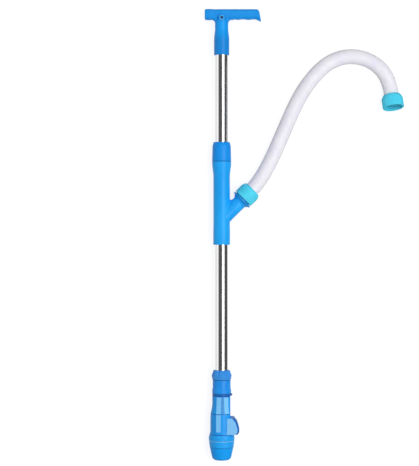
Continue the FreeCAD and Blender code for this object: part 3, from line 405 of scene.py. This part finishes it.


# %% [markdown]
# Where two mouldings meet, dirt and shadow draw a thin dark line. The gap itself is only a few tenths of a
# millimetre, too fine for a distant eye, so each part's colour carries the line at the height of its own
# edge, as painted dirt and painted shade. The Y body's line runs square to its branch, which leans over at
# 45 degrees.

# %% Draw the seams
# The seam colour is painted dirt and painted shade in the joints between parts.
seam_dirt_and_shade_tone = linear(14, 78, 150)
seam_reach = 0.0006
branch_foot_height = 0.5165
flange_edges = (0.0597, 0.0632)
branch_side = 0.020


def bottom_of(name):
    """The lowest point of a part along the pump's axis."""
    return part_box(name)[0][1]


def top_of(name):
    """The highest point of a part along the pump's axis."""
    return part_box(name)[1][1]


def branch_seams_and_shade(tree, place, colour):
    """Painted dirt and shade at the two edges of the branch's flange, and painted shade under the gland nut.
    """
    slant = math.sqrt(0.5)
    along = node(tree, "VectorMath", {0: place, 1: (slant, slant, 0.0)}, operation="DOT_PRODUCT")
    start = branch_foot_height * slant
    parts = axis_parts(tree, place)
    first, second = [within(tree, along.outputs["Value"], start + edge, seam_reach) for edge in flange_edges]
    lines = product(tree, larger(tree, first, second), beyond(tree, parts["X"], branch_side))
    # painted shade: a dark rim on the body just under the gland nut
    rim = within(tree, parts["Y"], bottom_of("gland_nut") - seam_reach, seam_reach)
    return over(tree, larger(tree, lines, rim), colour, seam_dirt_and_shade_tone)


def seams_at(*heights):
    """Marks for a part with dark lines of painted dirt and shade at some heights along the pump's axis."""
    def marks(tree, place, colour):
        height = axis_parts(tree, place)["Y"]
        for seam in heights:
            colour = over(tree, within(tree, height, seam, seam_reach), colour, seam_dirt_and_shade_tone)
        return colour
    return marks


# %% [markdown]
# The handle is one moulding. The sleeve and the grip are painted a little deeper than the neck between them,
# as painted shade, and a pale ring round the screw is a painted highlight on the edge of the screw's seat.

# %% Shade the handle
sleeve_fade, grip_fade = (0.925, 0.900), (0.940, 0.950)
screw_low, screw_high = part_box("handle_screw")
screw_place = [(low + high) / 2 for low, high in zip(screw_low, screw_high)]
screw_highlight_radius = 0.0049


def handle_painted_shade_and_highlight(tree, place, colour):
    height = axis_parts(tree, place)["Y"]
    # The sleeve and the grip get painted shade, a little deeper than the neck.
    for (start, end), tone in ((sleeve_fade, linear(2, 136, 222)), (grip_fade, linear(14, 147, 232))):
        fade = node(tree, "MapRange", {"Value": height, "From Min": start, "From Max": end})
        colour = over(tree, fade.outputs[0], colour, tone)
    from_screw = node(tree, "VectorMath", {0: place, 1: screw_place}, operation="SUBTRACT").outputs[0]
    flat = node(tree, "VectorMath", {0: from_screw, 1: (1.0, 1.0, 0.0)}, operation="MULTIPLY").outputs[0]
    ring = node(tree, "VectorMath", {0: flat}, operation="LENGTH").outputs["Value"]
    # painted highlight: a pale ring round the screw, on the edge of its seat
    return over(tree, within(tree, ring, screw_highlight_radius, seam_reach), colour, linear(84, 180, 242))


# %% [markdown]
# The filter housing has flat pads to grip it by, and a flat face on its side hood. Both are painted paler
# than the round wall, as a painted highlight of the light their flat faces catch. The groove between the
# upper pads and the hood's sides are painted darker, as painted shade. The pattern is found from the part's
# own coordinates, turned so that each pad faces up.

# %% Find the pads
pad_half_width, groove_half_width = 0.0053, 0.0028
upper_turns, lower_turns = (-17.4, 27.6), (-17.0,)
upper_heights, lower_heights = (0.1010, 0.1364), (0.0620, 0.0990)
pad_seam = 0.1000
hood_heights = (0.0560, 0.0930)
hood_start, hood_side = 0.0100, 0.0215
hood_inside, hood_face, face_reach = 0.0222, 0.0226, 0.0003
# Pale pads are a painted highlight, and the darker groove between them is painted shade.
pad_highlight_tone, groove_shade_tone = linear(124, 200, 254), linear(66, 148, 214)
# The hood's flat face gets a painted highlight, and its sides get painted shade.
hood_face_highlight_tone, hood_shade = linear(126, 194, 246), linear(22, 104, 188)


def between_heights(tree, height, ends):
    """1 between two heights along the pump's axis, 0 elsewhere."""
    low, high = ends
    return within(tree, height, (low + high) / 2, (high - low) / 2)


def pads_and_hood_painted_light(tree, place, colour):
    parts = axis_parts(tree, place)
    height = parts["Y"]
    strips_found = [(turn, pad_half_width, upper_heights, pad_highlight_tone) for turn in upper_turns]
    strips_found += [(turn, pad_half_width, lower_heights, pad_highlight_tone) for turn in lower_turns]
    strips_found += [(sum(upper_turns) / 2, groove_half_width, upper_heights, groove_shade_tone)]
    # The pads get a painted highlight, and the groove between the upper pads gets painted shade.
    for turn, half_width, ends, tone in strips_found:
        strip = within(tree, across_turned(tree, place, turn), 0.0, half_width)
        colour = over(tree, product(tree, strip, between_heights(tree, height, ends)), colour, tone)
    depth = node(tree, "Math", {0: parts["Z"]}, operation="ABSOLUTE").outputs[0]
    beside = between_heights(tree, height, hood_heights)
    side = within(tree, depth, 0.0, hood_inside)
    side = product(tree, product(tree, beyond(tree, parts["X"], hood_side), beside), side)
    face = within(tree, depth, hood_face, face_reach)
    face = product(tree, product(tree, beyond(tree, parts["X"], hood_start), beside), face)
    # painted shade on the hood's sides, painted highlight on its flat face
    colour = over(tree, side, colour, hood_shade)
    colour = over(tree, face, colour, hood_face_highlight_tone)
    marks = seams_at(top_of("foot_ring") + seam_reach, pad_seam, bottom_of("bayonet_ring") - seam_reach)
    return marks(tree, place, colour)


rim_highlight_height, rim_highlight_reach = top_of("nose_collar") - 0.0009, 0.0008
rim_dirt_and_shade_height, rim_dirt_and_shade_reach = bottom_of("nose_collar") + 0.0004, 0.0005


def collar_highlight_and_seam(tree, place, colour):
    """The nose collar's top edge gets a pale painted highlight, and painted dirt and shade lie along its
    lower edge.
    """
    height = axis_parts(tree, place)["Y"]
    colour = over(tree, within(tree, height, rim_highlight_height, rim_highlight_reach), colour, linear(120, 200, 250))
    return over(tree, within(tree, height, rim_dirt_and_shade_height, rim_dirt_and_shade_reach), colour, seam_dirt_and_shade_tone)


# %% [markdown]
# Each moulding comes from its own batch of pigment, so the blues differ a little: the collar is greyer, the
# nose deeper, the Y body brightest. The lock ring is dark, and the union nuts are a pale cyan that lets some
# light in. One function mixes them all, and only the two tones, the gloss and the marks change.

# %% Mix the plastics
handle_blue = moulded_plastic("handle_blue", linear(2, 148, 236), linear(10, 160, 246), marks=handle_painted_shade_and_highlight)
body_blue = moulded_plastic("body_blue", linear(16, 160, 244), linear(28, 174, 254), marks=branch_seams_and_shade)
nut_blue = moulded_plastic("nut_blue", linear(2, 140, 232), linear(10, 152, 244))
collar_blue = moulded_plastic("collar_blue", linear(48, 140, 224), linear(60, 152, 234))
foot_blue = moulded_plastic("foot_blue", linear(20, 138, 230), linear(32, 150, 240),
                            marks=seams_at(top_of("bayonet_ring"), bottom_of("foot_collar") - seam_reach))
housing_blue = moulded_plastic("housing_blue", linear(14, 148, 236), linear(26, 160, 246),
                               marks=pads_and_hood_painted_light)
ring_blue = moulded_plastic("ring_blue", linear(26, 160, 242), linear(38, 172, 252), marks=collar_highlight_and_seam)
nose_blue = moulded_plastic("nose_blue", linear(2, 153, 240), linear(8, 165, 252), (0.42, 0.55))
lock_blue = moulded_plastic("lock_blue", linear(14, 92, 172), linear(24, 106, 188), (0.35, 0.5))
nut_cyan = moulded_plastic("nut_cyan", linear(70, 208, 242), linear(88, 220, 250), (0.38, 0.5))
white_plastic = moulded_plastic("white_plastic", linear(214, 216, 218), linear(236, 237, 236), (0.35, 0.5))
button_dark = moulded_plastic("button_dark", linear(22, 52, 88), linear(34, 68, 108), (0.3, 0.45))
let_light_in(nut_cyan.node_tree.nodes["Principled BSDF"], 0.4, (0.004, 0.006, 0.006))
print("plastics mixed")

# %% [markdown]
# ## Steel
# The tubes are drawn stainless, polished lengthwise to a mirror. The rod inside is ground, and the small
# fasteners are plain turned steel. A mirror needs little more than its surroundings, but faint polishing
# lines and a breath of haze stop it looking like glass.


# %% Polish the steel
def polished_steel(name, tone, haze, lines):
    """Bare steel with polishing lines; lines is the stretch of their noise."""
    material, tree, shader, place = start_material(name)
    shader.inputs["Metallic"].default_value = 1.0
    cloud = stretched_noise(tree, place, 45.0, (1, 0.3, 1), 3.0)
    dark = (tone * 0.93, tone * 0.93, tone * 0.94, 1)
    light = (tone, tone, tone * 1.005, 1)
    tree.links.new(two_tones(tree, cloud, dark, light), shader.inputs["Base Color"])
    polish = stretched_noise(tree, place, 1400.0, lines, 2.0)
    tree.links.new(between(tree, polish, *haze), shader.inputs["Roughness"])
    roughen(tree, shader, polish, 0.006, 0.05 * millimetre)
    return material


tube_steel = polished_steel("tube_steel", 0.82, (0.06, 0.13), (1, 0.01, 1))
rod_steel = polished_steel("rod_steel", 0.74, (0.14, 0.24), (0.05, 1, 0.05))
fastener_steel = polished_steel("fastener_steel", 0.60, (0.25, 0.4), (1, 1, 1))
# Nearly black steel for the handle screw and its nut: painted shade for the dark recess round the screw.
screw_steel_painted_shade = polished_steel("screw_steel_painted_shade", 0.10, (0.35, 0.5), (1, 1, 1))
print("steels", 4)

# %% [markdown]
# ## Rubber, filter medium and hose
# Seals are black rubber with a dusty bloom. The filter is a porous ceramic, so it gets pits and a warm,
# uneven white. The hose is milky: light enters it and spreads, which subsurface scattering shows better than
# clear transmission would, and a little transmission lets the fittings inside it show through as shadows.


# %% Mix the soft and porous materials
def seal_rubber_material():
    material, tree, shader, place = start_material("seal_rubber")
    bloom = stretched_noise(tree, place, 240.0, (1, 1, 1), 4.0)
    tree.links.new(two_tones(tree, bloom, (0.012, 0.012, 0.013, 1), (0.035, 0.035, 0.038, 1)),
                   shader.inputs["Base Color"])
    tree.links.new(between(tree, bloom, 0.5, 0.72), shader.inputs["Roughness"])
    roughen(tree, shader, stretched_noise(tree, place, 1500.0), 0.2, 0.1 * millimetre)
    return material


def filter_medium():
    material, tree, shader, place = start_material("filter_medium")
    pores = node(tree, "TexVoronoi", {"Vector": place, "Scale": 900.0})
    tree.links.new(two_tones(tree, pores.outputs["Distance"], linear(196, 188, 170), linear(238, 234, 222)),
                   shader.inputs["Base Color"])
    shader.inputs["Roughness"].default_value = 0.85
    roughen(tree, shader, pores.outputs["Distance"], 0.5, 0.3 * millimetre)
    return material


def milky_hose():
    material, tree, shader, place = start_material("milky_hose")
    cloud = stretched_noise(tree, place, 38.0, (1, 1, 1), 3.0)
    tree.links.new(two_tones(tree, cloud, linear(239, 237, 253), linear(247, 245, 255)),
                   shader.inputs["Base Color"])
    fine = stretched_noise(tree, place, 500.0)
    tree.links.new(between(tree, fine, 0.32, 0.46), shader.inputs["Roughness"])
    roughen(tree, shader, fine, 0.06, 0.15 * millimetre)
    let_light_in(shader, 0.4, (0.004, 0.004, 0.005))
    shader.inputs["Transmission Weight"].default_value = 0.06
    shader.inputs["IOR"].default_value = 1.3
    return material


seal_rubber = seal_rubber_material()
porous_white = filter_medium()
hose_milk = milky_hose()
hose_pipe.data.materials.append(hose_milk)
print("soft materials", 3)

# %% [markdown]
# ## The thread in the free nut
# The free nut lies with its mouth open, so its thread shows. A thread is one ridge that climbs as it turns.
# A screw modifier could wind it, but the spin operator does the same with a small shift for each step, and
# leaves a plain closed mesh.

# %% Wind the thread
thread_bore = 19.62 * millimetre
thread_pitch = 3.6 * millimetre
thread_height = 0.9 * millimetre
thread_turns, steps_per_turn = 2.5, 60
thread_start = 7.0 * millimetre
cut_end, before = Vector(hose_points[-1]), Vector(hose_points[-2])
mouth_way = (cut_end - before).normalized()
ridge = bmesh.new()
section = [(thread_bore, 0.0, thread_start),
           (thread_bore - thread_height, 0.0, thread_start + thread_pitch / 4),
           (thread_bore, 0.0, thread_start + thread_pitch / 2)]
corners = [ridge.verts.new(corner) for corner in section]
edges = [ridge.edges.new((corners[index], corners[index - 1])) for index in range(3)]
steps = int(thread_turns * steps_per_turn)
bmesh.ops.spin(ridge, geom=corners + edges, cent=(0, 0, 0), axis=(0, 0, 1), angle=math.tau * thread_turns,
               dvec=(0, 0, thread_pitch / steps_per_turn), steps=steps)
open_edges = [edge for edge in ridge.edges if edge.is_boundary or edge.is_wire]
bmesh.ops.holes_fill(ridge, edges=open_edges, sides=3)
bmesh.ops.recalc_face_normals(ridge, faces=ridge.faces)
turn = Vector((0, 0, 1)).rotation_difference(mouth_way).to_matrix().to_4x4()
bmesh.ops.transform(ridge, matrix=Matrix.Translation(cut_end) @ turn, verts=ridge.verts)
thread_mesh = bpy.data.meshes.new("end_nut_thread")
ridge.to_mesh(thread_mesh)
ridge.free()
end_nut_thread = bpy.data.objects.new("end_nut_thread", thread_mesh)
scene.collection.objects.link(end_nut_thread)
thread_mesh.materials.append(nut_cyan)
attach(end_nut_thread, "end_nut")
print("thread faces", len(thread_mesh.polygons))

# %% [markdown]
# ## Give every part its finish
# One finish serves each group of parts. The slots are changed on the parts' objects, and their meshes stay
# as the construction model made them.

# %% Assign the finishes
finishes = {
    handle_blue: ["t_handle"],
    body_blue: ["y_body"],
    nut_blue: ["gland_nut"],
    collar_blue: ["foot_collar"],
    foot_blue: ["foot_socket", "flush_flap"],
    housing_blue: ["filter_housing"],
    ring_blue: ["foot_ring", "nose_collar"],
    nose_blue: ["intake_nose"],
    lock_blue: ["bayonet_ring"],
    screw_steel_painted_shade: ["handle_screw", "handle_nut"],
    nut_cyan: ["branch_nut", "end_nut"],
    tube_steel: ["upper_tube", "barrel"],
    rod_steel: ["plunger_rod"],
    fastener_steel: ["piston_nut", "piston_washer", "valve_stop_collar",
                     "flap_pin", "intake_screen"],
    white_plastic: ["branch_tail", "end_tail", "rod_bushing", "rod_seal_carrier", "compression_ring",
                    "piston_head", "foot_valve_seat", "cartridge_top_cap", "cartridge_bottom_cap"],
    button_dark: ["latch_button"],
    seal_rubber: ["rod_seal", "gland_o_ring", "barrel_o_ring", "branch_washer", "end_washer", "foot_o_ring",
                  "spigot_o_ring", "cartridge_o_ring", "piston_cup_seal", "piston_valve_disc", "nose_gasket",
                  "foot_valve_poppet"],
    porous_white: ["filter_cartridge"],
}
finished = 0
for finish, names in finishes.items():
    for name in names:
        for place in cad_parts[name].material_slots:
            place.material = finish
        finished += 1
print("parts finished", finished, "of", len(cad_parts) - 1)

# %% [markdown]
# ## Finish
# Standard view keeps colours as they are written.

# %% Finish
scene.view_settings.view_transform = "Standard"
